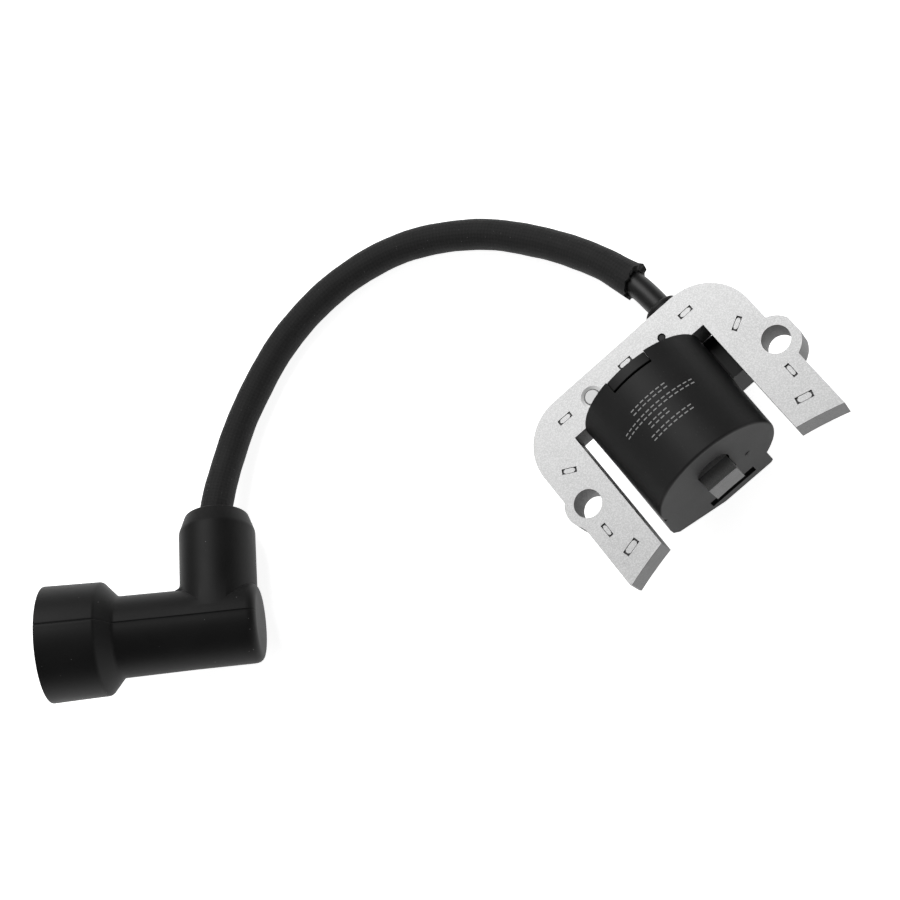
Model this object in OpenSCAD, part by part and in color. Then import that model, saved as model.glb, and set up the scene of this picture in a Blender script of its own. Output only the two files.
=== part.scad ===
// Ignition coil for a small engine: laminated core, moulded coil, plug lead and plug boot.
// Millimetres. Origin: midway between the two mounting holes, on the core's rear face.
// +X right, +Y towards the yoke, +Z out of the front face; the three legs point to -Y.

/* [Core] */
// Distance between the centres of the two mounting holes
hole_spacing = 70; // [68:0.5:72]
// Diameter of each mounting hole
hole_d = 8.5; // [6.5:0.1:9]
// Thickness of the whole lamination stack
core_t = 9.5; // [8:0.5:9.5]
// Thickness of one loose outer lamination
sheet_t = 0.5; // [0.35:0.05:0.6]
// Radius the leg tips are ground to, to clear the flywheel
flywheel_r = 125; // [90:1:160]
// Depth of the interlock marks pressed into the front sheet
mark_depth = 0.35; // [0.1:0.05:0.4]

/* [Coil case] */
// Radius of the moulded case at the yoke end
case_r = 20.8; // [20.3:0.1:21]
// Radius of the moulded case at the open-leg end
case_r_front = 20.2; // [19.8:0.1:20.6]
// Inner radius of the case
case_bore_r = 18.8; // [18.7:0.1:19.2]
// Depth of the rectangular slot moulded in the end face
slot_depth = 1.7; // [0.5:0.1:2]

/* [Windings] */
// Number of winding sections on the secondary bobbin
sections = 8; // [4:1:10]
// Outer radius of the secondary winding
secondary_r = 16.2; // [14:0.1:16.5]
// Outer radius of the primary winding
primary_r = 10.2; // [8.8:0.1:10.6]

/* [Lead] */
// Radius of the plug lead's insulation
lead_r = 3.7; // [3.4:0.05:3.8]
// Radius of the stranded conductor
wire_r = 1.2; // [0.6:0.1:1.3]
// Outside radius of the loose protective sleeve
sleeve_r = 5; // [4.4:0.05:5.1]

/* [Plug boot] */
// Radius of the boot's barrel
barrel_r = 12.6; // [11:0.1:13.5]
// Radius of the boot's wide mouth
mouth_r = 18.4; // [17.8:0.1:19]
// Distance from the lead's axis to the rim of the mouth
mouth_y = 54.1; // [50:0.1:60]
// Radius of the lead entry on the boot
entry_r = 12.2; // [11:0.1:12.5]
// Tilt of the barrel up from the bench
boot_tilt = 19.8; // [0:0.1:25]

/* [Hidden] */
$fn = 72;
hx = hole_spacing / 2;
cx = -1.6;
cz = 4.75;
tower_x = 17;
tower_z = -6.4;
pitch = 24.9 / sections;
boot_at = [-150.65, 54.4, -0.85];
boot_turn = [boot_tilt, 8.3, 62.2];
steel = [0.62, 0.63, 0.65];
black = [0.10, 0.10, 0.11];
copper = [0.72, 0.40, 0.20];
tin = [0.70, 0.70, 0.68];
amber = [0.16, 0.15, 0.15];

function unit(v) = v / norm(v);
function arc(c, r, a0, a1, n) =
    [for (i = [0:n]) c + r * [cos(a0 + (a1 - a0) * i / n), sin(a0 + (a1 - a0) * i / n)]];

// Extrudes a drawing made in x and z along y, from y0 to y1.
module along_y(y0, y1) {
    translate([0, y1, 0])
    rotate([90, 0, 0])
    linear_extrude(y1 - y0)
    children();
}

// Round bar along +y from y0 to y1 about (x, z).
module rod_y(x, z, r, y0, y1) {
    translate([x, y0, z])
    rotate([-90, 0, 0])
    cylinder(h = y1 - y0, r = r);
}

// ---- core -------------------------------------------------------------------------

module window(x0, x1) {
    translate([x0, -40])
    square([x1 - x0, 58]);
}

module outline() {
    difference() {
        union() {
            polygon(concat([[cx - 38.6, -30], [cx + 38.6, -30]],
                arc([21, 15], 16, 0, 90, 16), arc([-24.2, 15], 16, 90, 180, 16)));
            intersection() {
                translate([hx - 0.7, -0.2])
                circle(7.7);
                translate([hx - 5, -10])
                square([11.5, 20]);
            }
            translate([-hx, 0])
            circle(7.1);
            polygon([[-38, -2], [-hx - 6, -3.2], [-hx - 5.5, -4.75], [-39.9, -6],
                [-38.5, -6.2]]);
        }
        window(-26, -6.6);
        window(3.4, 22.8);
        translate([cx, -21 - flywheel_r])
        circle(flywheel_r, $fn = 200);
        for (s = [-1, 1])
            translate([s * hx, 0])
            circle(hole_d / 2);
        translate([-40.6, -27.5])
        rotate(45)
        square(2, center = true);
    }
}

module core_sheet(z0, z1, rivet_hole) {
    translate([0, 0, z0])
    linear_extrude(z1 - z0)
    difference() {
        outline();
        translate([-14.6, 24.1])
        circle(rivet_hole);
        translate([11.6, 23.6])
        circle(1.25);
    }
}

module core_stack() {
    color(steel)
    core_sheet(sheet_t, core_t - sheet_t, 2);
}

module core_rear_lamination() {
    color(steel)
    core_sheet(0, sheet_t, 2);
}

// One interlock mark: a sunk rectangle with an eight-sided pad left standing in it.
module mark(l, w) {
    difference() {
        square([l, w], center = true);
        polygon([[l / 2 - 0.55, w / 6], [l / 2 - 1.1, w / 2 - 0.16], [1.1 - l / 2, w / 2 - 0.16],
            [0.55 - l / 2, w / 6], [0.55 - l / 2, -w / 6], [1.1 - l / 2, 0.16 - w / 2],
            [l / 2 - 1.1, 0.16 - w / 2], [l / 2 - 0.55, -w / 6]]);
    }
}

module marks() {
    for (s = [-1, 1]) {
        translate([cx + s * 23, 24.6])
        children(0);
        translate([cx + s * 31.6, 11.4])
        rotate(s * 30)
        children(1);
        translate([cx + s * 33.9, -9.9])
        rotate(90)
        children(2);
        translate([cx + s * 31.6, -18.4])
        rotate(s * -14.5)
        children(3);
    }
    translate([-1, 25.2])
    children(0);
}

module core_front_lamination() {
    color(steel)
    difference() {
        core_sheet(core_t - sheet_t, core_t, 2.5);
        translate([0, 0, core_t - mark_depth])
        linear_extrude(2)
        marks() {
            mark(4.6, 1.7);
            mark(4.5, 1.7);
            mark(4.4, 1.5);
            mark(5.2, 2.1);
        }
        translate([0, 0, core_t - 0.08])
        linear_extrude(2)
        marks() {
            square([4.5, 1.6], center = true);
            square([4.4, 1.6], center = true);
            square([4.3, 1.4], center = true);
            square([5.1, 2.0], center = true);
        }
        translate([-14.6, 24.1, core_t - 0.35])
        cylinder(h = 1, r1 = 2.5, r2 = 4.8);
    }
}

module ground_rivet() {
    color(tin)
    translate([-14.6, 24.1, 0])
    rotate_extrude()
    polygon([[0, -1.7], [1.9, -1.7], [2.4, -1.5], [2.6, -1.1], [2.6, -0.6], [1.9, -0.6],
        [1.9, core_t - sheet_t], [2.3, core_t - sheet_t], [2.3, core_t - 0.2], [2.1, core_t - 0.1],
        [0, core_t - 0.1]]);
}

module locating_peg() {
    color(black)
    translate([11.6, 23.6, 0])
    rotate_extrude()
    polygon([[0, -0.15], [1.2, -0.15], [1.2, core_t - 0.6], [0.9, core_t - 0.3],
        [0, core_t - 0.3]]);
}

module ground_strap() {
    color(tin)
    difference() {
        translate([-17.1, 14.5, -0.6])
        cube([5, 12.7, 0.6]);
        translate([-14.6, 24.1, -2])
        cylinder(h = 4, r = 2);
    }
}

// ---- coil -------------------------------------------------------------------------

module block() {
    polygon([[12.2, 2], [12.2, -17.2], [11.2, -18.2], [-6.1, -18.2], [-21.6, -12.2],
        [-23.1, -9.5], [-23.1, -6], [-21.9, 2.6], [-15, 3]]);
}

module cavity() {
    polygon([[10.5, 2], [10.5, -16.6], [-5.8, -16.6], [-20.6, -10.9], [-21.5, -9],
        [-21.5, -4], [-20, 0], [-15, 2]]);
}

module coil_case() {
    color(black)
    difference() {
        union() {
            translate([cx, 0, cz])
            rotate([-90, 0, 0])
            rotate_extrude($fn = 120)
            polygon(concat([[0, 17.7], [0, -16.9]],
                arc([case_r_front - 0.8, -16.1], 0.8, -90, 0, 4), [[case_r, 17.7]]));
            along_y(-16.9, 16.6)
            block();
        }
        rod_y(cx, cz, case_bore_r, -14.4, 30);
        along_y(-12.9, 30)
        cavity();
        translate([-6.8, -20, -0.2])
        cube([10.4, 10, 9.9]);
        rod_y(-1.4, 10, 5.4, -20, -14);
        translate([-9.6, -20, -14.5])
        cube([16.2, 3.1 + slot_depth, 4]);
        translate([-8.1, 13.5, 20.6])
        cube([13.6, 10, 10]);
        translate([12, 8.5, tower_z])
        rotate([0, 90, 0])
        cylinder(h = 8, r = 0.75, $fn = 32);
    }
}

module bobbin_latch() {
    color(black)
    union() {
        along_y(14.3, 17.6)
        intersection() {
            translate([cx, cz])
            circle(20.35);
            translate([-8.05, 22.4])
            square([13.5, 5]);
        }
        translate([-4.6, 13.9, 10.75])
        cube([6, 2.3, 12.6]);
    }
}

module potting_resin() {
    color(amber)
    difference() {
        union() {
            rod_y(cx, cz, case_bore_r - 0.1, 13, 16.4);
            along_y(13, 16.4)
            polygon([[10.4, 2], [10.4, -16.5], [-5.7, -16.5], [-20.5, -10.8], [-21.4, -8.9],
                [-21.4, -4], [-20, -0.3], [-15, 1]]);
        }
        translate([cx - 6.3, 10, cz - 6.05])
        cube([12.6, 10, 12.1]);
        translate([-4.7, 10, 9])
        cube([6.2, 10, 20]);
        translate([-8.1, 10, 20.6])
        cube([13.6, 10, 10]);
        translate([-17.2, 14.4, -0.7])
        cube([5.2, 10, 0.8]);
        translate([-12.1, 13.9, -9.9])
        cube([6.5, 10, 1]);
    }
}

module primary_bobbin() {
    color(black)
    difference() {
        union() {
            translate([-7.85, -14, -1.25])
            cube([12.5, 30.8, 12]);
            rod_y(cx, cz, 10.6, -14, -13);
            rod_y(cx, cz, 10.6, 11.6, 12.6);
        }
        translate([-6.75, -20, -0.15])
        cube([10.3, 50, 9.8]);
    }
}

module primary_winding() {
    color(copper)
    difference() {
        rod_y(cx, cz, primary_r, -12.95, 11.55);
        translate([cx - 6.3, -20, cz - 6.05])
        cube([12.6, 40, 12.1]);
    }
}

module secondary_bobbin() {
    color(black)
    translate([cx, -13.6, cz])
    rotate([-90, 0, 0])
    difference() {
        union() {
            cylinder(h = 25.8, r = 11.9);
            for (i = [0:sections])
                translate([0, 0, i * pitch])
                cylinder(h = 0.9, r = 17);
        }
        translate([0, 0, -1])
        cylinder(h = 30, r = 10.9);
    }
}

module secondary_winding() {
    color(copper)
    translate([cx, -13.6, cz])
    rotate([-90, 0, 0])
    for (i = [0:sections - 1])
        translate([0, 0, i * pitch + 1])
        difference() {
            cylinder(h = pitch - 1.1, r = secondary_r);
            translate([0, 0, -1])
            cylinder(h = pitch + 2, r = 12);
        }
}

module circuit_board() {
    color([0.10, 0.28, 0.16])
    translate([-11.2, -12.4, -14.2])
    cube([21, 25, 1.6]);
}

module storage_capacitor() {
    color([0.55, 0.38, 0.12])
    translate([-20.2, -9, -10.3])
    cube([5, 17, 4]);
}

module power_transistor() {
    color(black)
    translate([-6, 2, -16.2])
    cube([10, 10, 2]);
}

module control_chip() {
    color(black)
    translate([5, -3, -15.6])
    cube([4, 6, 1.4]);
}

module chip_resistors() {
    color(black)
    for (i = [0:3])
        translate([-6.5 + 2.6 * i, -9 + 1.2 * (i % 2), -14.8])
        cube([1.2, 2, 0.6]);
}

module kill_terminal() {
    color(tin)
    difference() {
        translate([-12, 14, -9.8])
        cube([6.3, 13, 0.8]);
        translate([-8.85, 24, -12])
        cylinder(h = 4, r = 0.9);
    }
}

// ---- high-tension outlet ----------------------------------------------------------

module ht_feed_pin() {
    color(tin)
    union() {
        translate([12.6, 8.5, tower_z])
        rotate([0, 90, 0])
        cylinder(h = 7.5, r = 0.6, $fn = 32);
        rod_y(19.5, tower_z, 0.55, 8.5, 18.4);
    }
}

module ht_tower() {
    color(black)
    difference() {
        union() {
            translate([12.2, 3.4, -12.8])
            cube([11.7, 14.4, 12.65]);
            rod_y(tower_x, tower_z, 5.7, 14, 36.5);
            translate([9.6, 19.5, -4.2])
            cube([7.4, 8, 4.05]);
            translate([19.4, 3.4, -1])
            cube([0.6, 11.1, 1.35]);
        }
        rod_y(cx, cz, 21, 0, 17.9);
        rod_y(tower_x, tower_z, 4, 18.4, 40);
        rod_y(19.5, tower_z, 0.75, 7.7, 20);
        translate([10, 8.5, tower_z])
        rotate([0, 90, 0])
        cylinder(h = 10.3, r = 0.75, $fn = 32);
    }
}

module ht_contact() {
    color(tin)
    rod_y(tower_x, tower_z, 3.4, 18.4, 19.8);
}

module lead_grommet() {
    color(black)
    translate([tower_x, 0, tower_z])
    rotate([-90, 0, 0])
    rotate_extrude()
    polygon([[3.85, 36.5], [5.8, 36.5], [5.8, 37.4], [5.5, 37.8], [4.9, 38], [3.85, 38]]);
}

// ---- plug lead --------------------------------------------------------------------

// Places things in the boot's own frame: +x out of the lead entry, +y out of the mouth.
module at_boot() {
    translate(boot_at)
    rotate(boot_turn)
    children();
}

entry = [cos(boot_turn[2]) * cos(boot_turn[1]), sin(boot_turn[2]) * cos(boot_turn[1]),
    -sin(boot_turn[1])];
function inside(d) = boot_at + d * entry;

bends = [[17, 40, -6.4], [16, 50.7, -7], [12.5, 64.8, -8.9], [3.4, 84.4, -11.6],
    [-10.9, 104.1, -13.1], [-31.9, 119.2, -13.2], [-56.5, 125.6, -13.2], [-81.6, 123.7, -13.2],
    [-104.8, 114, -12.4], [-120.8, 102, -10], inside(41), inside(33)];
route = concat([[17, 19.8, -6.4], [17, 30, -6.4]], bends, [inside(24), inside(12)]);

// Smooth curve through the points p, with two rings from each point to the next.
function curve(p, i, t) =
    let (a = p[max(i - 1, 0)], b = p[i], c = p[i + 1], d = p[min(i + 2, len(p) - 1)])
    0.5 * (2 * b + (c - a) * t + (2 * a - 5 * b + 4 * c - d) * t * t
        + (3 * b - a - 3 * c + d) * t * t * t);
function line(p, first, last) =
    concat([for (i = [first:last - 1], k = [0:1]) curve(p, i, k / 2)], [p[last]]);
function heading(q, i) = unit(q[min(i + 1, len(q) - 1)] - q[max(i - 1, 0)]);
function ring(q, i, r, n) =
    let (t = heading(q, i), s = unit(cross(t, [0, 0, 1])), u = cross(s, t))
    [for (k = [0:n - 1]) q[i] + r * cos(360 * k / n) * s + r * sin(360 * k / n) * u];

// Solid cord along the rings q.
module cord(q, r, n) {
    m = len(q);
    polyhedron(points = [for (i = [0:m - 1]) each ring(q, i, r, n)],
        faces = concat([[for (k = [0:n - 1]) k]],
            [for (i = [0:m - 2], k = [0:n - 1])
                [i * n + k, (i + 1) * n + k, (i + 1) * n + (k + 1) % n, i * n + (k + 1) % n]],
            [[for (k = [n - 1:-1:0]) (m - 1) * n + k]]));
}

// Hollow cord along the rings q.
module hose(q, r, bore, n) {
    m = len(q);
    h = m * n;
    polyhedron(points = concat([for (i = [0:m - 1]) each ring(q, i, r, n)],
            [for (i = [0:m - 1]) each ring(q, i, bore, n)]),
        faces = concat(
            [for (i = [0:m - 2], k = [0:n - 1])
                [i * n + k, (i + 1) * n + k, (i + 1) * n + (k + 1) % n, i * n + (k + 1) % n]],
            [for (i = [0:m - 2], k = [0:n - 1])
                [h + i * n + k, h + i * n + (k + 1) % n, h + (i + 1) * n + (k + 1) % n,
                    h + (i + 1) * n + k]],
            [for (k = [0:n - 1]) [k, (k + 1) % n, h + (k + 1) % n, h + k]],
            [for (k = [0:n - 1]) let (e = (m - 1) * n)
                [e + k, h + e + k, h + e + (k + 1) % n, e + (k + 1) % n]]));
}

whole = line(route, 0, len(route) - 1);
sleeve = concat(line(route, 3, len(route) - 3), [inside(24), inside(19)]);

module lead_conductor() {
    color(copper)
    cord(whole, wire_r, 8);
}

module lead_insulation() {
    color(black)
    hose(whole, lead_r, 1.5, 12);
}

module lead_sleeve() {
    color(black)
    hose(sleeve, sleeve_r, 4, 12);
}

module lead_ferrule() {
    color(tin)
    at_boot()
    translate([6, 0, 0])
    rotate([0, 90, 0])
    difference() {
        cylinder(h = 6, r = 3.7);
        translate([0, 0, -1])
        cylinder(h = 8, r = 1.5);
    }
}

// ---- plug boot --------------------------------------------------------------------

module plug_boot() {
    color(black)
    at_boot()
    difference() {
        union() {
            rotate([-90, 0, 0])
            rotate_extrude($fn = 96)
            polygon(concat([[0, -13.2]], arc([barrel_r - 2.8, -10.4], 2.8, -90, 0, 8),
                [[barrel_r, 8], [barrel_r + 0.3, 31.2], [mouth_r - 0.7, 35.4], [mouth_r - 0.5, 36],
                [mouth_r, mouth_y - 0.5], [mouth_r - 0.5, mouth_y], [0, mouth_y]]));
            rotate([0, 90, 0])
            rotate_extrude($fn = 96)
            polygon([[0, 0], [entry_r, 0], [entry_r, 31.8], [entry_r - 0.4, 32.6],
                [entry_r - 1.9, 37.3], [entry_r - 2.5, 37.6], [0, 37.6]]);
        }
        rod_y(0, 0, 8, -8, mouth_y - 22);
        rod_y(0, 0, 9.4, mouth_y - 22, mouth_y + 2);
        translate([0, mouth_y - 17, 0])
        rotate([-90, 0, 0])
        cylinder(h = 19, r1 = 14.4, r2 = 15.4);
        rotate([0, 90, 0])
        cylinder(h = 12, r = 3.75);
        translate([12, 0, 0])
        rotate([0, 90, 0])
        cylinder(h = 6, r = 4);
        translate([18, 0, 0])
        rotate([0, 90, 0])
        cylinder(h = 30, r = 5.3);
        translate([32, 0, 0])
        rotate([0, 90, 0])
        cylinder(h = 8, r1 = 5.2, r2 = 6.8);
    }
}

module boot_insert() {
    color(black)
    at_boot()
    difference() {
        rod_y(0, 0, 7.9, -7.9, 30.8);
        rod_y(0, 0, 1.6, -2, 20);
        rod_y(0, 0, 4.5, 14, 40);
        rod_y(0, 0, 5, 23.8, 40);
        translate([-1.5, 0, 0])
        rotate([0, 90, 0])
        cylinder(h = 20, r = 1.6);
        translate([5, 0, 0])
        rotate([0, 90, 0])
        cylinder(h = 20, r = 4.1);
    }
}

module contact_rod() {
    color(tin)
    at_boot()
    union() {
        rod_y(0, 0, 1.5, -1, 14);
        rotate([0, 90, 0])
        cylinder(h = 5.9, r = 1.4);
    }
}

module plug_terminal() {
    color([0.74, 0.58, 0.26])
    at_boot()
    difference() {
        rod_y(0, 0, 4.4, 14, 30);
        rod_y(0, 0, 3.2, 15, 40);
        difference() {
            rod_y(0, 0, 6, 24, 25.2);
            rod_y(0, 0, 3.95, 20, 30);
        }
    }
}

module terminal_spring() {
    color(tin)
    at_boot()
    translate([0, 24.6, 0])
    rotate([-90, 0, 0])
    rotate_extrude(angle = 300)
    translate([4.4, 0])
    circle(0.4, $fn = 24);
}

core_stack();
core_front_lamination();
core_rear_lamination();
ground_rivet();
locating_peg();
ground_strap();
coil_case();
bobbin_latch();
potting_resin();
primary_bobbin();
primary_winding();
secondary_bobbin();
secondary_winding();
circuit_board();
storage_capacitor();
power_transistor();
control_chip();
chip_resistors();
kill_terminal();
ht_feed_pin();
ht_tower();
ht_contact();
lead_grommet();
lead_conductor();
lead_insulation();
lead_sleeve();
lead_ferrule();
plug_boot();
boot_insert();
contact_rod();
plug_terminal();
terminal_spring();
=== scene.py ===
"""Looks for a small-engine ignition coil: punched steel core, black moulded coil,
sleeved plug lead and right-angle rubber plug boot. Lengths below are millimetres."""

import math

import bmesh
import bpy
import numpy as np
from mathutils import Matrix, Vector


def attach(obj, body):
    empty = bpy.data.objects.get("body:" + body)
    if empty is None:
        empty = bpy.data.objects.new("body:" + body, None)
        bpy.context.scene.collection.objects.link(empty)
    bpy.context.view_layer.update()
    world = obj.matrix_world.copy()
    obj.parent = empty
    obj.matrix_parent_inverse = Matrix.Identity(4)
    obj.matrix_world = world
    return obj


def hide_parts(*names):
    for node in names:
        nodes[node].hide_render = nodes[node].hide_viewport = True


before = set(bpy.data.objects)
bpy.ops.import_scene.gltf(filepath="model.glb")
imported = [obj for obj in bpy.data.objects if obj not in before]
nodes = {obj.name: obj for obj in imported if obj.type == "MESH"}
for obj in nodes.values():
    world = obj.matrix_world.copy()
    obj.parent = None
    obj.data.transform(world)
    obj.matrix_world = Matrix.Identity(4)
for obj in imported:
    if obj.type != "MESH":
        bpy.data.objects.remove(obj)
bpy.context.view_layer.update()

MM = 0.001
COIL_AXIS = (-1.6, 4.75)  # x and z of the coil's centre line
CROWN_R = 20.5  # radius at which the dashes are laid out
DASH_PITCH = 1.87
SHEET = 0.5  # thickness of one lamination
RIVET_AT = (-14.6, 24.1)
LEAD_R, WIRE_BORE_R = 3.7, 1.5
SLEEVE_R, SLEEVE_BORE_R = 5.0, 4.0
BARREL_R, NECK_R = 12.6, 12.2
TABLE_TOP = -18.25
AIM = (-0.05, 0.05, 0)  # metres: where the lamps point


# ---- shader wiring ----------------------------------------------------------------


class Wire:
    """A number or colour that varies over a surface. Arithmetic on wires adds Math nodes."""

    def __init__(self, finish, socket):
        self.finish, self.socket = finish, socket

    def _do(self, operation, *values):
        return self.finish.node(
            "ShaderNodeMath", {"operation": operation}, dict(enumerate(values))
        )

    def __add__(self, other):
        return self._do("ADD", self, other)

    def __radd__(self, other):
        return self._do("ADD", other, self)

    def __sub__(self, other):
        return self._do("SUBTRACT", self, other)

    def __rsub__(self, other):
        return self._do("SUBTRACT", other, self)

    def __mul__(self, other):
        return self._do("MULTIPLY", self, other)

    def __rmul__(self, other):
        return self._do("MULTIPLY", other, self)

    def __truediv__(self, other):
        return self._do("DIVIDE", self, other)

    def __abs__(self):
        return self._do("ABSOLUTE", self)

    def sin(self):
        return self._do("SINE", self)

    def fract(self):
        return self._do("FRACT", self)

    def rises(self, low, high):
        """0 below low, 1 above high, and a smooth rise between them."""
        return self.finish.node(
            "ShaderNodeMapRange",
            {"interpolation_type": "SMOOTHSTEP"},
            {0: self, 1: low, 2: high, 3: 0.0, 4: 1.0},
        )

    def within(self, low, high, soft):
        """1 between low and high, falling to 0 over a distance soft on each side."""
        return self.rises(low - soft, low) * (1.0 - self.rises(high, high + soft))


class Finish:
    """One material: a Principled shader, its constants, and the wires that reach it."""

    def __init__(self, name, **constants):
        self.material = bpy.data.materials.new(name)
        self.material.use_nodes = True
        self.tree = self.material.node_tree
        self.shader = self.tree.nodes["Principled BSDF"]
        for key, value in constants.items():
            self.shader.inputs[key.replace("_", " ")].default_value = value

    def node(self, kind, settings=None, inputs=None, out=0):
        made = self.tree.nodes.new(kind)
        for key, value in (settings or {}).items():
            setattr(made, key, value)
        for key, value in (inputs or {}).items():
            if isinstance(value, Wire):
                self.tree.links.new(value.socket, made.inputs[key])
            else:
                made.inputs[key].default_value = value
        return Wire(self, made.outputs[out])

    def place(self, what="Object"):
        """Object or UV coordinates, from one node however often they are asked for."""
        if what not in self.__dict__:
            socket = {"Object": 3, "UV": 2}[what]
            self.__dict__[what] = self.node("ShaderNodeTexCoord", out=socket)
        return self.__dict__[what]

    def axes(self):
        """The three Object coordinates in millimetres."""
        if "xyz" not in self.__dict__:
            self.xyz = [
                self.node("ShaderNodeSeparateXYZ", {}, {0: self.place()}, out=i) * 1000.0
                for i in range(3)
            ]
        return self.xyz

    def noise(self, size, detail=3.0, rough=0.55, stretch=(1, 1, 1), seed=0.0):
        """Cloudy value from 0 to 1 with features about size millimetres across."""
        spread = [1000.0 / size * s for s in stretch]
        at = self.node(
            "ShaderNodeMapping",
            {},
            {0: self.place(), 1: (seed, seed * 0.7, seed * 1.3), 3: spread},
        )
        settings = {"Vector": at, "Scale": 1.0, "Detail": detail, "Roughness": rough}
        return self.node("ShaderNodeTexNoise", {}, settings)

    def specks(self, size, share):
        """1 on a share of small cells, 0 elsewhere: dust, pores or chips."""
        grid = {"Vector": self.place(), "Scale": 1000.0 / size}
        cells = self.node("ShaderNodeTexVoronoi", {}, grid, out=1)
        pick = self.node("ShaderNodeSeparateColor", {}, {0: cells})
        near = self.node("ShaderNodeTexVoronoi", {}, grid, out=0)
        return pick.rises(1.0 - share, 1.0 - share * 0.8) * (1.0 - near.rises(0.2, 0.4))

    def mix(self, share, low, high):
        """Colour from low to high as share goes from 0 to 1."""
        return self.node(
            "ShaderNodeMix", {"data_type": "RGBA"}, {0: share, 6: low, 7: high}, out=2
        )

    def paint(self, colour=None, roughness=None, metal=None, height=None):
        """Connects the finished wires; height is in millimetres."""
        pairs = {"Base Color": colour, "Roughness": roughness, "Metallic": metal}
        for key, value in pairs.items():
            if isinstance(value, Wire):
                self.tree.links.new(value.socket, self.shader.inputs[key])
            elif value is not None:
                self.shader.inputs[key].default_value = value
        if height is not None:
            bump = self.node(
                "ShaderNodeBump", {}, {"Strength": 1.0, "Distance": MM, "Height": height}
            )
            self.tree.links.new(bump.socket, self.shader.inputs["Normal"])
        return self.material


def grey(v, warm=0.0):
    """A grey of brightness v, tinted towards red by warm."""
    return (v * (1 + warm), v, v * (1 - warm), 1.0)


# ---- finishes ---------------------------------------------------------------------


def core_steel():
    """Punched electrical steel: bright rolled faces, grey sheared walls with one line per
    sheet, a bright countersink round the rivet and painted shade on the centre leg's tip."""
    f = Finish("core steel", Specular_IOR_Level=0.5)
    x, y, z = f.axes()
    face = z.rises(9.36, 9.4) + (1.0 - z.rises(0.01, 0.04))
    off_x, off_y = x - RIVET_AT[0], y - RIVET_AT[1]
    from_rivet = off_x * off_x + off_y * off_y
    bevel = z.within(9.05, 9.46, 0.03) * (1.0 - from_rivet.rises(14.5, 15.0))
    face = face + (1.0 - face) * bevel
    leg = 1.0 - abs(x - COIL_AXIS[0]).rises(5.1, 5.3)
    # pole: the top face of the centre leg's tip, where painted shade goes below
    pole = leg * (1.0 - y.rises(-16.4, -16.2)) * z.rises(9.3, 9.4)
    rolled = f.noise(1.1, 3, 0.6, (6, 0.35, 1), 2.0)
    grain = f.noise(0.4, 3, 0.75, seed=5.0)
    cloud = f.noise(9.0, 3, 0.5, seed=1.0)
    bright = f.mix(rolled * 0.55 + cloud * 0.45, grey(0.33), grey(0.47))
    bright = f.mix(grain.rises(0.44, 0.6) * 0.55, bright, grey(0.6))
    bright = f.mix(f.specks(0.4, 0.03) * 0.5, bright, grey(0.16))
    bright = f.mix(bevel * 0.9, bright, grey(0.95))
    # painted shade: the centre leg's top face darkens towards near black, most where it runs
    # into the case
    bright = f.mix(pole * (y.rises(-20.0, -17.0) * 0.55 + 0.05), bright, grey(0.06))
    sheet = (z / SHEET).fract()
    seam = 1.0 - sheet.within(0.14, 0.86, 0.1)
    torn = f.noise(0.5, 3, 0.7, (1, 1, 5), 7.0)
    wall = f.mix(torn * 0.6 + cloud * 0.4, grey(0.10), grey(0.24))
    wall = f.mix(seam * 0.55, wall, grey(0.06))
    wall = f.mix(z.within(9.1, 9.3, 0.04) * 0.85, wall, grey(0.012))
    return f.paint(
        f.mix(face, wall, bright),
        0.52 - face * 0.1 + grain * 0.12,
        0.25 + face * 0.35,
        face * (rolled * 0.012 + grain * 0.01) + (1.0 - face) * (torn * 0.03 - seam * 0.05),
    )


def case_plastic(name="case plastic", printed=False, shade=0.010, gloss=0.46):
    """Black glass-filled thermoplastic: fine orange-peel grain, pale fibre flecks, and
    on the coil case four rows of plain white dashes jetted on the crown."""
    f = Finish(name, Specular_IOR_Level=0.24)
    grain = f.noise(0.28, 3, 0.6, seed=3.0)
    cloud = f.noise(7.0, 3, 0.5, seed=4.0)
    fleck = f.specks(0.35, 0.02)
    colour = f.mix(cloud * 0.6 + grain * 0.4, grey(shade * 0.75), grey(shade * 1.5))
    colour = f.mix(fleck * 0.3, colour, grey(0.1))
    rough = gloss + cloud * 0.08 + grain * 0.08
    height = grain * 0.02 + cloud * 0.03
    if printed:
        x, y, z = f.axes()
        turn = f.node(
            "ShaderNodeMath",
            {"operation": "ARCTAN2"},
            {0: x - COIL_AXIS[0], 1: z - COIL_AXIS[1]},
        )
        along = turn * CROWN_R
        ink = None
        rows = ((5.4, -6.8, 7), (2.2, -12.9, 14), (-0.9, -5.2, 4), (-4.2, -6.9, 8))
        for level, start, cells in rows:
            cell = ((along - start) / DASH_PITCH).fract()
            row = along.within(start, start + cells * DASH_PITCH, 0.02)
            bars = abs(abs(y - level) - 0.62).within(-1.0, 0.13, 0.08)
            drops = (along * 2.9).fract().within(0.12, 0.88, 0.1)
            this = row * cell.within(0.1, 0.7, 0.05) * bars * (drops * 0.35 + 0.65)
            ink = this if ink is None else ink + this
        ink = ink * (0.55 + f.noise(0.5, 2, 0.6, seed=9.0) * 0.7)
        colour = f.mix(ink * 0.9, colour, grey(0.42))
        rough = rough + ink * 0.1
        height = height + ink * 0.01
    return f.paint(colour, rough, 0.0, height)


def boot_rubber():
    """Moulded black rubber: soft sheen, faint bloom, mould grain and a little dust."""
    f = Finish("boot rubber", Specular_IOR_Level=0.16)
    cloud = f.noise(11.0, 4, 0.55, seed=6.0)
    grain = f.noise(0.35, 3, 0.65, seed=8.0)
    colour = f.mix(cloud, grey(0.0035), grey(0.009))
    colour = f.mix(f.specks(0.45, 0.003) * 0.6, colour, grey(0.2))
    rough = 0.45 + cloud * 0.1 + grain * 0.06
    return f.paint(colour, rough, 0.0, grain * 0.018 + cloud * 0.05)


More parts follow.
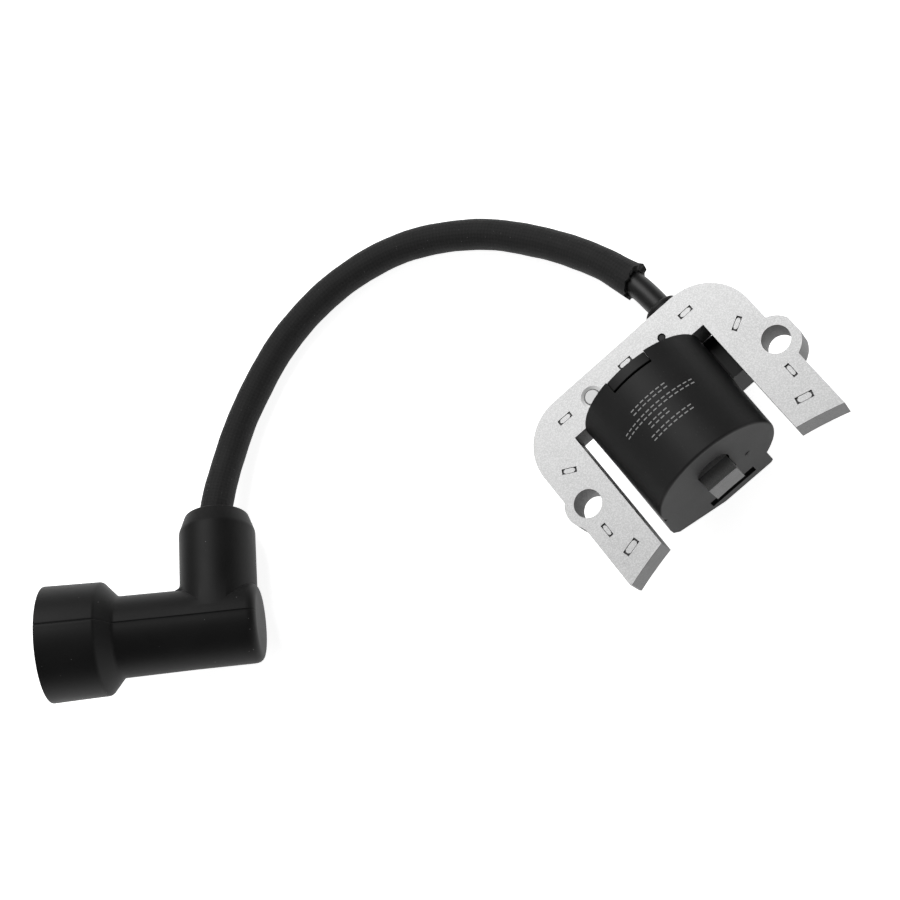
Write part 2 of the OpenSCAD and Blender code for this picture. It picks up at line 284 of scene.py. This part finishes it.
def lead_rubber():
    """Smooth extruded lead: a slight lengthwise draw, satin."""
    f = Finish("lead rubber", Specular_IOR_Level=0.3)
    cloud = f.noise(5.0, 3, 0.5, seed=2.0)
    grain = f.noise(0.3, 2, 0.6, seed=3.0)
    colour = f.mix(cloud, grey(0.006), grey(0.013))
    return f.paint(colour, 0.4 + cloud * 0.12, 0.0, grain * 0.01)


def sleeve_braid():
    """Varnished glass-fibre sleeving: 26 yarns each way cross over and under, and short
    broken fibres catch the light."""
    f = Finish("sleeve braid", Specular_IOR_Level=0.14)
    around = f.node("ShaderNodeSeparateXYZ", {}, {0: f.place("UV")}, out=0)
    along = f.node("ShaderNodeSeparateXYZ", {}, {0: f.place("UV")}, out=1)
    yarns, lay = around * 26.0, along / 1.15
    right = (yarns + lay) * math.pi
    left = (yarns - lay) * math.pi
    weave = right.sin() * left.sin() * 0.5 + 0.5
    fuzz = f.noise(0.3, 3, 0.75, seed=4.0)
    cloud = f.noise(6.0, 3, 0.5, seed=5.0)
    colour = f.mix(weave * 0.2 + fuzz * 0.8, grey(0.004), grey(0.034))
    colour = f.mix(fuzz.rises(0.62, 0.78) * 0.5, colour, grey(0.06))
    colour = f.mix(f.specks(0.45, 0.01) * 0.5, colour, grey(0.15))
    return f.paint(colour, 0.58 + cloud * 0.16, 0.0, weave * 0.035 + fuzz * 0.08)


def plain_metal(name, low, high, rough=0.34):
    """Drawn or plated metal: fine scratches over a cloudy tarnish."""
    f = Finish(name)
    scratch = f.noise(0.35, 3, 0.6, (5, 0.4, 1), 1.0)
    cloud = f.noise(2.5, 3, 0.55, seed=2.0)
    colour = f.mix(cloud * 0.7 + scratch * 0.3, low, high)
    return f.paint(colour, rough + cloud * 0.18, 1.0, scratch * 0.008)


def wound_copper():
    """Close-wound enamelled wire: one rounded ridge per turn along the coil, with painted
    shade that darkens each turn towards the grooves between turns.
    """
    f = Finish("wound copper", Coat_Weight=0.4)
    y = f.axes()[1]
    turn = abs(((y / 0.22).fract() - 0.5) * 2.0)
    cloud = f.noise(3.0, 3, 0.5, seed=3.0)
    # painted shade: each turn goes from bright copper on its ridge to dark brown in the grooves
    colour = f.mix(turn, (0.42, 0.16, 0.06, 1), (0.10, 0.03, 0.01, 1))
    colour = f.mix(cloud * 0.4, colour, (0.5, 0.22, 0.09, 1))
    return f.paint(colour, 0.3 + cloud * 0.1, 0.7, turn * -0.06)


def potting():
    """Poured epoxy: slightly wavy, with a few pin-holes."""
    f = Finish("potting resin", Specular_IOR_Level=0.5)
    wave = f.noise(6.0, 2, 0.4, seed=1.0)
    pore = f.specks(1.6, 0.05)
    colour = f.mix(wave, grey(0.012), grey(0.03))
    colour = f.mix(pore, colour, grey(0.006))
    return f.paint(colour, 0.25 + wave * 0.2, 0.0, wave * 0.2 - pore * 0.1)


def green_board():
    """Solder-masked circuit board with copper runs showing through as a lighter green."""
    f = Finish("circuit board", Coat_Weight=0.3)
    x, y = f.axes()[:2]
    runs = (x / 1.9).fract().within(0.3, 0.55, 0.04) + (y / 2.7).fract().within(0.35, 0.5, 0.04)
    cloud = f.noise(2.0, 3, 0.5, seed=1.0)
    colour = f.mix(cloud, (0.01, 0.07, 0.02, 1), (0.02, 0.11, 0.035, 1))
    colour = f.mix(runs * 0.6, colour, (0.05, 0.2, 0.07, 1))
    return f.paint(colour, 0.3 + cloud * 0.15, 0.0, runs * 0.03)


def dipped_film():
    """Dipped capacitor coating: glossy, thick and a little lumpy."""
    f = Finish("dipped film", Coat_Weight=0.6)
    lump = f.noise(2.2, 3, 0.5, seed=6.0)
    colour = f.mix(lump, (0.22, 0.10, 0.02, 1), (0.42, 0.22, 0.05, 1))
    return f.paint(colour, 0.25 + lump * 0.15, 0.0, lump * 0.12)


# ---- surfaces ---------------------------------------------------------------------


def quads(rows, around, closed_rows=False):
    """Faces of a grid that closes around each row, and also from the last row to the first
    if asked."""
    i = np.arange(rows if closed_rows else rows - 1)[:, None]
    k = np.arange(around)[None, :]
    a, b = i * around + k, i * around + (k + 1) % around
    c, d = ((i + 1) % rows) * around + (k + 1) % around, ((i + 1) % rows) * around + k
    return np.stack([a, b, c, d], -1).reshape(-1, 4)


def swell(points, faces):
    """Signed volume: positive when the faces point outwards."""
    p = points[faces]
    volume = 0.0
    for j in range(1, faces.shape[1] - 1):
        volume += np.einsum("ij,ij->i", p[:, 0], np.cross(p[:, j], p[:, j + 1])).sum()
    return float(volume)


def solid(name, points, faces, caps=()):
    """A mesh object from points in millimetres, turned outward if it came out inside out."""
    flip = swell(points, faces) < 0
    lists = [list(map(int, q[::-1] if flip else q)) for q in faces]
    lists += [list(map(int, q[::-1] if flip else q)) for q in caps]
    mesh = bpy.data.meshes.new(name)
    mesh.from_pydata((points * MM).tolist(), [], lists)
    mesh.update()
    made = bpy.data.objects.new(name, mesh)
    bpy.context.scene.collection.objects.link(made)
    return made


def smooth(piece, degrees=32.0):
    """Smooth shading with sharp edges where faces meet at more than the given angle."""
    mesh = piece.data
    mesh.polygons.foreach_set("use_smooth", np.ones(len(mesh.polygons), bool))
    mesh.set_sharp_from_angle(angle=math.radians(degrees))


def round_off(profile, radius, steps=5):
    """Rounds every corner of a profile but its two ends: corner B becomes the curve
    (1-t)^2 A + 2t(1-t) B + t^2 C between points A and C the given distance from it."""
    p = np.asarray(profile, float)
    r = np.broadcast_to(np.asarray(radius, float), (len(p),))
    out = [p[0]]
    t = np.linspace(0, 1, steps + 1)[:, None]
    for before, at, after, cut in zip(p[:-2], p[1:-1], p[2:], r[1:-1]):
        u, v = before - at, after - at
        reach = min(cut, 0.48 * np.linalg.norm(u), 0.48 * np.linalg.norm(v))
        if reach <= 0:
            out.append(at)
            continue
        a, c = at + u / np.linalg.norm(u) * reach, at + v / np.linalg.norm(v) * reach
        out.extend((1 - t) ** 2 * a + 2 * t * (1 - t) * at + t**2 * c)
    out.append(p[-1])
    return np.array(out)


def turned(name, profile, angles, shape=None):
    """Surface of revolution: (r, s) of the profile becomes (r cos a, s, r sin a), with a
    pole at each end. shape may change the radius as a function of angle and s."""
    r, s = np.asarray(profile, float).T
    r, s = r[1:-1], s[1:-1]
    a = angles[None, :]
    rr = np.repeat(r[:, None], len(angles), 1)
    ss = np.repeat(s[:, None], len(angles), 1)
    if shape is not None:
        rr = shape(rr, ss, a)
    ring = np.stack([rr * np.cos(a), ss, rr * np.sin(a)], -1).reshape(-1, 3)
    poles = np.array([[0, profile[0][1], 0], [0, profile[-1][1], 0]], float)
    points = np.concatenate([ring, poles])
    n, m = len(r), len(angles)
    k = np.arange(m)
    first = np.stack([np.full(m, n * m), (k + 1) % m, k], 1)
    last = np.stack([np.full(m, n * m + 1), (n - 1) * m + k, (n - 1) * m + (k + 1) % m], 1)
    return solid(name, points, quads(n, m), [*first, *last])


# ---- plug lead --------------------------------------------------------------------

BOOT_AT = np.array([-150.65, 54.4, -0.85])


def boot_axes():
    """The boot's own axes as columns: out of the lead entry, out of the mouth, and up."""
    x, y, z = (math.radians(a) for a in (19.8, 8.3, 62.2))
    rx = np.array([[1, 0, 0], [0, math.cos(x), -math.sin(x)], [0, math.sin(x), math.cos(x)]])
    ry = np.array([[math.cos(y), 0, math.sin(y)], [0, 1, 0], [-math.sin(y), 0, math.cos(y)]])
    rz = np.array([[math.cos(z), -math.sin(z), 0], [math.sin(z), math.cos(z), 0], [0, 0, 1]])
    return rz @ ry @ rx


BOOT = boot_axes()


def inside(depth):
    """A point on the lead entry's axis, the given distance out from the boot's centre."""
    return BOOT_AT + depth * BOOT[:, 0]


BENDS = [(17, 40, -6.4), (16, 50.7, -7), (12.5, 64.8, -8.9), (3.4, 84.4, -11.6),
         (-10.9, 104.1, -13.1), (-31.9, 119.2, -13.2), (-56.5, 125.6, -13.2),
         (-81.6, 123.7, -13.2), (-104.8, 114, -12.4), (-120.8, 102, -10)]
START = [(17, 19.8, -6.4), (17, 30, -6.4)]
ROUTE = np.array([*START, *BENDS, *map(inside, (41, 33, 24, 12))], float)


def curve(points, steps):
    """Smooth curve through the points: on each stretch from B to C, with A before and D
    after, 0.5(2B + (C-A)t + (2A-5B+4C-D)t^2 + (3B-A-3C+D)t^3)."""
    p = np.concatenate([points[:1], points, points[-1:]])
    a, b, c, d = (p[i : len(p) - 3 + i, None] for i in range(4))
    t = (np.arange(steps) / steps)[None, :, None]
    square, cube = 2 * a - 5 * b + 4 * c - d, 3 * b - a - 3 * c + d
    line = 0.5 * (2 * b + (c - a) * t + square * t**2 + cube * t**3)
    return np.concatenate([line.reshape(-1, 3), points[-1:]])


def travelled(line):
    """Distance along the line to each of its points."""
    return np.concatenate([[0], np.cumsum(np.linalg.norm(np.diff(line, axis=0), axis=1))])


def tube(name, line, outer, inner, around, skin):
    """Hollow cord: a closed loop of radii, out along the skin and back along the bore, is
    carried round the line, so point = line + r cos(a) side + r sin(a) up. skin may
    change the outer radius and position as a function of angle and distance."""
    way = travelled(line)
    ahead = np.gradient(line, way, axis=0)
    ahead /= np.linalg.norm(ahead, axis=1)[:, None]
    side = np.cross(ahead, [0, 0, 1.0])
    side /= np.linalg.norm(side, axis=1)[:, None]
    up = np.cross(side, ahead)
    a = (np.arange(around) / around * 2 * math.pi)[None, :, None]

    def ring(radius, slide):
        out = line[:, None] + slide[..., None] * ahead[:, None]
        return out + radius[..., None] * (np.cos(a) * side[:, None] + np.sin(a) * up[:, None])

    radius = np.full((len(line), around), float(outer))
    slide = np.zeros_like(radius)
    if skin is not None:
        radius, slide = skin(radius, way[:, None], a[..., 0], way[-1])
    bore = np.minimum(radius - 0.25, inner)
    points = np.concatenate([ring(radius, slide), ring(bore, slide)[::-1]]).reshape(-1, 3)
    faces = quads(2 * len(line), around, closed_rows=True)
    made = solid(name, points, faces)
    rows = np.concatenate([way, way[::-1]])
    corner = np.zeros(len(made.data.loops), np.int32)
    made.data.loops.foreach_get("vertex_index", corner)
    row, spoke = corner // around, corner % around
    face_of = np.repeat(np.arange(len(made.data.polygons)), 4)
    lowest = np.minimum.reduceat(spoke, np.arange(0, len(spoke), 4))[face_of]
    highest = np.maximum.reduceat(spoke, np.arange(0, len(spoke), 4))[face_of]
    wraps = (highest - lowest > 1) & (spoke == 0)
    uv = np.stack([(spoke + around * wraps) / around, rows[row]], 1)
    made.data.uv_layers.new(name="UVMap").data.foreach_set("uv", uv.astype(np.float32).ravel())
    smooth(made, 50)
    return made


def cut_edge(radius, way, angle, total):
    """Sleeve skin: a gently uneven wall that is 0.2 mm fuller where it nears the boot, and
    at the coil end a crooked, frayed cut whose upper lip stands off the lead."""
    wavy = 0.04 * np.sin(way / 3.1 + 2 * angle) + 0.03 * np.sin(way / 1.3 - 3 * angle)
    near = np.exp(-way / 1.6)
    lift = 1.3 * np.exp(-way / 4.5) * np.maximum(np.cos(angle - 0.3), 0) ** 2
    flare = near * (0.06 + 0.07 * np.sin(5 * angle + 1.0) + 0.05 * np.sin(11 * angle)) + lift
    jag = 0.9 * np.cos(angle) + 0.25 * np.sin(7 * angle) + 0.2 * np.sin(13 * angle + 2.0)
    wide = 0.2 * np.exp(-(((total - 24 - way) / 14) ** 2))
    return radius - 0.02 + wavy + flare + wide, near * jag - 0.3 * near


def plug_lead():
    """The lead from the outlet into the boot, and the loose sleeve from past the collar to
    just inside the entry, with the sleeve's first stretch cut in four for the frayed end."""
    line = curve(ROUTE, 6)
    lead = tube("lead", line, LEAD_R, WIRE_BORE_R, 32, None)
    cover_line = np.concatenate([curve(ROUTE[3:-1], 10)[:-1], [inside(24), inside(19)]])
    share = np.array([0, 0.25, 0.5, 0.75])[:, None]
    first = (1 - share) * cover_line[0] + share * cover_line[1]
    cover_line = np.concatenate([first, cover_line[1:]])
    cover = tube("sleeve", cover_line, SLEEVE_R, SLEEVE_BORE_R, 64, cut_edge)
    return lead, cover, line


# ---- plug boot --------------------------------------------------------------------


def seam_angles(count):
    """Even angles plus a few close ones either side of the two mould seams."""
    even = np.arange(count) / count * 2 * math.pi
    close = np.radians([-1.3, -0.8, -0.3, 0.3, 0.8, 1.3])
    every = np.concatenate([even, math.pi / 2 + close, 1.5 * math.pi + close])
    return np.unique(np.round(every, 6))


def seam(radius, s, angle):
    """A mould line: the radius dips by 0.14 mm in a notch about a degree wide at the top
    and bottom of the barrel, with a faint lip beside it."""
    off = np.degrees(np.abs(np.abs((angle % (2 * math.pi)) - math.pi) - math.pi / 2))
    notch = np.exp(-((off / 0.55) ** 2))
    lip = np.exp(-(((off - 1.3) / 0.5) ** 2))
    return radius - np.where(radius > 3, 0.14 * notch - 0.05 * lip, 0)


def entry_blend(radius, s, angle):
    """The lead entry flares into the barrel: within a distance R of the barrel's skin the
    radius grows by R - sqrt(R^2 - (R-d)^2), and R shrinks where the two skins run level."""
    level = np.sin(angle) ** 2
    skin = np.sqrt(np.maximum(BARREL_R**2 - (NECK_R**2) * level, 0))
    blend = 2.2 * (1 - 0.95 * level) * np.clip(np.cos(angle) * 3, 0.02, 1)
    d = np.clip(s - skin, 0, blend)
    rise = blend - np.sqrt(np.maximum(blend**2 - (blend - d) ** 2, 0))
    return radius + np.where((radius > 11.9) & (s > 5), np.minimum(rise, 1.6), 0)


def carve(base, others, operation):
    """Exact boolean of base with each of the other solids, which are then removed."""
    for other in others:
        cut = base.modifiers.new("cut", "BOOLEAN")
        cut.solver, cut.operation, cut.object = "EXACT", operation, other
        bpy.context.view_layer.update()
        shaped = base.evaluated_get(bpy.context.evaluated_depsgraph_get())
        result = bpy.data.meshes.new_from_object(shaped)
        base.modifiers.clear()
        base.data = result
        bpy.data.objects.remove(other)
    return base


def plug_boot():
    """Barrel and lead entry are turned profiles joined at right angles, then bored."""
    barrel = round_off(
        [(0, -13.2), (BARREL_R, -13.2), (BARREL_R, 8), (12.9, 31.2), (17.9, 35.7),
         (18.4, 54.1), (14, 54.1), (0, 54.1)],
        [0, 3.0, 0.5, 0.8, 0.7, 0.35, 0, 0], 6)
    outer = turned("boot", barrel, seam_angles(112), seam)
    rings = [(NECK_R, s) for s in (2, 12.0, 12.6, 13.2, 13.9, 14.8, 31.9)]
    neck = round_off(
        [(0, 2), *rings, (10.25, 37.4), (9.6, 37.6), (0, 37.6)],
        [0, 0, 0, 0, 0, 0, 0, 0.7, 0.4, 0.2, 0], 5)
    angles = np.arange(112) / 112 * 2 * math.pi
    entry = turned("entry", neck, angles, entry_blend)
    mouth_bore = [(0, -8), (8, -8), (8, 32.1), (9.4, 32.1), (9.4, 37.1), (14.4, 37.1),
                  (15.4, 53.4), (15.9, 54.2), (15.9, 60), (0, 60)]
    lead_bore = [(0, 0), (3.75, 0), (3.75, 12), (4, 12), (4, 18), (5.3, 18), (5.3, 33),
                 (6.3, 37.8), (6.3, 45), (0, 45)]
    bores = [
        turned("bore", mouth_bore, angles + 0.01),
        turned("entry bore", lead_bore, angles + 0.01),
    ]
    swing = np.array([[0, 1, 0], [1, 0, 0], [0, 0, 1]], float)  # swaps x and y
    for piece in (entry, bores[1]):
        place(piece, swing)
        piece.data.flip_normals()
    carve(outer, [entry], "UNION")
    carve(outer, bores, "DIFFERENCE")
    place(outer, BOOT, BOOT_AT)
    smooth(outer, 30)
    return outer


def place(piece, turn, move=(0, 0, 0)):
    """Turns and moves a piece's own points, so that its object stays at the origin."""
    co = np.zeros(len(piece.data.vertices) * 3, np.float32)
    piece.data.vertices.foreach_get("co", co)
    moved = co.reshape(-1, 3) @ np.asarray(turn).T + np.asarray(move) * MM
    piece.data.vertices.foreach_set("co", moved.astype(np.float32).ravel())
    piece.data.update()


# ---- mouldings with softened edges --------------------------------------------------


def softened(node, name, width):
    """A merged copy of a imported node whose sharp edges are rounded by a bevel."""
    mesh = nodes[node].data.copy()
    work = bmesh.new()
    work.from_mesh(mesh)
    bmesh.ops.remove_doubles(work, verts=work.verts, dist=3e-6)
    flat = math.radians(0.4)
    bmesh.ops.dissolve_limit(work, angle_limit=flat, verts=work.verts, edges=work.edges)
    work.to_mesh(mesh)
    work.free()
    made = bpy.data.objects.new(name, mesh)
    bpy.context.scene.collection.objects.link(made)
    mesh.polygons.foreach_set("use_smooth", np.ones(len(mesh.polygons), bool))
    edge = made.modifiers.new("edge", "BEVEL")
    edge.width, edge.segments, edge.limit_method = width * MM, 3, "ANGLE"
    edge.angle_limit, edge.harden_normals = math.radians(35), False
    edge.use_clamp_overlap = True
    even = made.modifiers.new("even", "WEIGHTED_NORMAL")
    even.weight = 80
    return made


def gate_mark():
    """Crescent left by the mould gate on the end face: a bent bar whose radius is
    0.26 sin(t) as it goes round five eighths of a circle."""
    rings, spokes = 24, 10
    t = np.linspace(0.02, math.pi - 0.02, rings)[:, None]
    a = (np.arange(spokes) / spokes * 2 * math.pi)[None, :]
    bend = 0.6 + t * 1.25
    thick = 0.26 * np.sin(t)
    reach = 0.85 + thick * np.cos(a)
    x, z = 8.3 + reach * np.cos(bend), 0.6 + reach * np.sin(bend)
    points = np.stack([x, -16.92 + thick * 0.8 * np.sin(a), z], -1).reshape(-1, 3)
    last = (rings - 1) * spokes
    caps = [list(range(spokes))[::-1], list(range(last, last + spokes))]
    made = solid("gate_mark", points, quads(rings, spokes), caps)
    smooth(made, 60)
    return made


# ---- assembly ---------------------------------------------------------------------


def dress(piece, material):
    """Gives a piece one material."""
    piece.data.materials.clear()
    piece.data.materials.append(material)


def add(piece, material, body, replaces=()):
    """Dresses a visible piece, rides it on its body and hides the nodes it stands for."""
    dress(piece, material)
    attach(piece, body)
    if replaces:
        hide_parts(*replaces)
    return piece


steel = core_steel()
black = case_plastic("moulded plastic")
printed = case_plastic("printed case plastic", printed=True)
tin = plain_metal("tin plate", grey(0.45), grey(0.72, 0.02), 0.3)
plated = plain_metal("rivet steel", grey(0.22), grey(0.5), 0.42)
copper = wound_copper()
chip = case_plastic("chip epoxy", shade=0.012, gloss=0.5)
insert = case_plastic("insert plastic", shade=0.02, gloss=0.4)

brass = plain_metal("terminal brass", (0.45, 0.28, 0.08, 1), (0.72, 0.52, 0.2, 1), 0.28)

FINISH_OF = [
    (steel, "core_stack core_front_lamination core_rear_lamination"),
    (black, "locating_peg primary_bobbin secondary_bobbin"),
    (chip, "power_transistor control_chip chip_resistors"),
    (tin, "ground_strap kill_terminal ht_feed_pin ht_contact lead_ferrule contact_rod"),
    (copper, "primary_winding secondary_winding lead_conductor"),
    (plated, "ground_rivet terminal_spring"),
    (potting(), "potting_resin"),
    (green_board(), "circuit_board"),
    (dipped_film(), "storage_capacitor"),
    (insert, "boot_insert"),
    (brass, "plug_terminal"),
]
for material, names in FINISH_OF:
    for node in names.split():
        dress(nodes[node], material)

for node, name, width, material, slot in (
    ("coil_case", "case_moulding", 0.3, printed, "case_plastic"),
    ("ht_tower", "tower_moulding", 0.25, black, "case_plastic"),
    ("bobbin_latch", "latch_moulding", 0.2, black, "bobbin_plastic"),
    ("lead_grommet", "collar_moulding", 0.15, black, "case_plastic"),
):
    add(softened(node, name, width), material, "module", [node])
add(gate_mark(), black, "module")

lead, cover, line = plug_lead()
add(lead, lead_rubber(), "module", ["lead_insulation"])
add(cover, sleeve_braid(), "module", ["lead_sleeve"])
boot = add(plug_boot(), boot_rubber(), "boot", ["plug_boot"])
(line * MM).tolist()


# ---- table, light and camera --------------------------------------------------------


def table():
    """A pale table top much larger than the part."""
    white = (1, 1, 1, 1)
    f = Finish("table", Specular_IOR_Level=0.1, Emission_Color=white, Emission_Strength=0.86)
    cloud = f.noise(140.0, 2, 0.4)
    f.paint(f.mix(cloud, grey(0.93), grey(0.95)), 0.9, 0.0)
    half = 4000.0 * MM
    corners = ((-1, -1), (1, -1), (1, 1), (-1, 1))
    mesh = bpy.data.meshes.new("table")
    mesh.from_pydata(
        [(x * half, y * half, TABLE_TOP * MM) for x, y in corners], [], [(0, 1, 2, 3)]
    )
    made = bpy.data.objects.new("table", mesh)
    bpy.context.scene.collection.objects.link(made)
    dress(made, f.material)


def lamp(name, at, aim, size, power):
    """A square soft light at a point, turned to face another point."""
    data = bpy.data.lights.new(name, "AREA")
    data.shape, data.size, data.energy = "SQUARE", size, power
    made = bpy.data.objects.new(name, data)
    bpy.context.scene.collection.objects.link(made)
    made.location = at
    way = [b - a for a, b in zip(at, aim)]
    made.rotation_euler = Vector(way).to_track_quat("-Z", "Y").to_euler()


def studio():
    """Dim white surroundings, three soft lamps and the eye, in metres."""
    world = bpy.data.worlds.new("studio")
    bpy.context.scene.world = world
    world.use_nodes = True
    sky = world.node_tree.nodes["Background"]
    sky.inputs[0].default_value = (1, 1, 1, 1)
    sky.inputs[1].default_value = 0.1
    lamp("back softbox", (0.05, 0.85, 1.15), AIM, 0.9, 16)
    lamp("left softbox", (-1.1, 0.1, 1.0), AIM, 0.7, 2)
    lamp("front softbox", (0.5, -1.2, 0.6), AIM, 0.7, 2)
    bpy.context.scene.view_settings.view_transform = "Standard"
    data = bpy.data.cameras.new("eye")
    data.lens, data.sensor_width = 69.3, 36.0
    eye = bpy.data.objects.new("eye", data)
    bpy.context.scene.collection.objects.link(eye)
    eye.location = (0.0156, -0.1831, 0.4667)
    eye.rotation_euler = [math.radians(a) for a in (15.42, 22.85, -36.73)]
    data.clip_start, data.clip_end = 0.01, 20
    bpy.context.scene.camera = eye


table()
studio()
